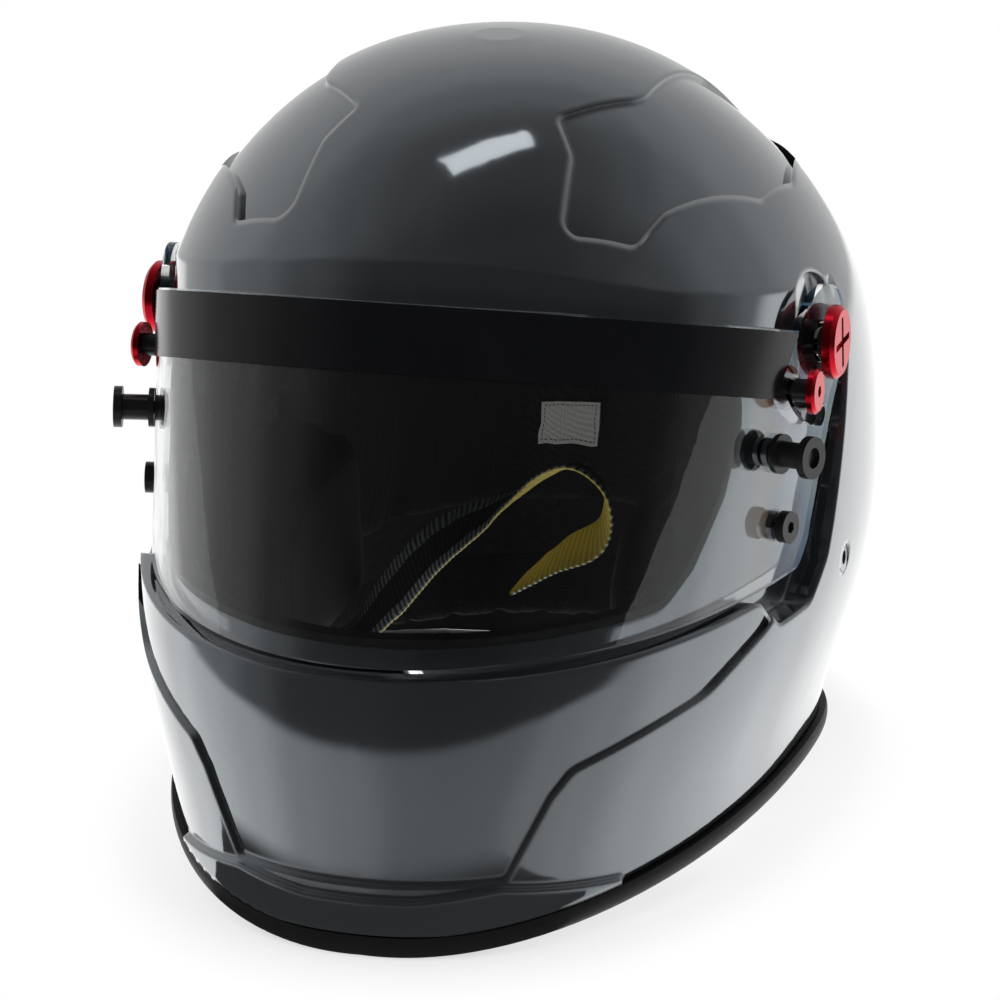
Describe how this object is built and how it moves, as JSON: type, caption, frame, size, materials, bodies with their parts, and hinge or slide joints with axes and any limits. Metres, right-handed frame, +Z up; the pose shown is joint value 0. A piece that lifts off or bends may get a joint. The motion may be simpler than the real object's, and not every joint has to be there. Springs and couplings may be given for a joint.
{
  "type": "auto racing helmet",
  "caption": "Full-face auto racing helmet with a hinged clear shield, padded liner, tether anchors and a double D-ring chin strap.",
  "frame": {"origin": "centre of the bounding box's underside, on the floor that the base trim stands on", "axes": "+Z up, -Y towards the front of the helmet, +X towards the wearer's left"},
  "size_m": [0.2626, 0.3445, 0.2737],
  "materials": {
    "shell_paint": "gloss steel-grey paint on a composite shell",
    "black_rubber": "matt black rubber",
    "clear_sheet": "clear moulded sheet",
    "black_film": "gloss black film",
    "red_anodised": "red anodised, satin",
    "black_anodised": "black anodised, satin",
    "steel": "satin zinc-plated steel",
    "liner_foam": "black moulded bead foam",
    "pad_cloth": "black knitted cloth over soft foam",
    "webbing": "black woven webbing with a yellow edge",
    "label_cloth": "plain white sewn label"
  },
  "bodies": {
    "helmet": {"outer_shell": "shell_paint", "base_trim": "black_rubber", "eyeport_gasket": "black_rubber", "impact_liner": "liner_foam", "chin_liner": "liner_foam", "crown_pad": "pad_cloth", "neck_roll": "pad_cloth", "sewn_label": "label_cloth", "chin_strap_long": "webbing", "chin_strap_short": "webbing", "pivot_nut_left": "steel", "pivot_nut_right": "steel", "pivot_bush_left": "black_anodised", "pivot_bush_right": "black_anodised", "pivot_screw_left": "red_anodised", "pivot_screw_right": "red_anodised", "stop_sleeve_left": "black_anodised", "stop_sleeve_right": "black_anodised", "stop_screw_left": "red_anodised", "stop_screw_right": "red_anodised", "stop_nut_left": "steel", "stop_nut_right": "steel", "restraint_anchor_left": "steel", "restraint_anchor_right": "steel", "anchor_nut_left": "steel", "anchor_nut_right": "steel", "hanger_plate_left": "steel", "hanger_plate_right": "steel", "cheek_pad_left": "pad_cloth", "cheek_pad_right": "pad_cloth"},
    "shield": {"face_shield": "clear_sheet", "sun_strip": "black_film", "tear_off_post_left": "black_anodised", "tear_off_post_right": "black_anodised", "post_nut_left": "steel", "post_nut_right": "steel", "closing_stud_left": "black_anodised", "closing_stud_right": "black_anodised", "stud_nut_left": "steel", "stud_nut_right": "steel"},
    "ring_inner": {"d_ring_inner": "steel"},
    "ring_outer": {"d_ring_outer": "steel"}
  },
  "joints": [
    {"name": "shield_hinge", "type": "hinge", "parent": "helmet", "child": "shield", "pos_m": [0, -0.0045, 0.17451], "axis": [-1, 0, 0], "range_deg": [0, 52]},
    {"name": "ring_inner_swing", "type": "hinge", "parent": "helmet", "child": "ring_inner", "pos_m": [0.0697, 0.0015, 0.03729], "axis": [0, 1, 0], "range_deg": [0, 40]},
    {"name": "ring_outer_swing", "type": "hinge", "parent": "helmet", "child": "ring_outer", "pos_m": [0.0743, 0.0015, 0.03729], "axis": [0, -1, 0], "range_deg": [0, 40]}
  ]
}
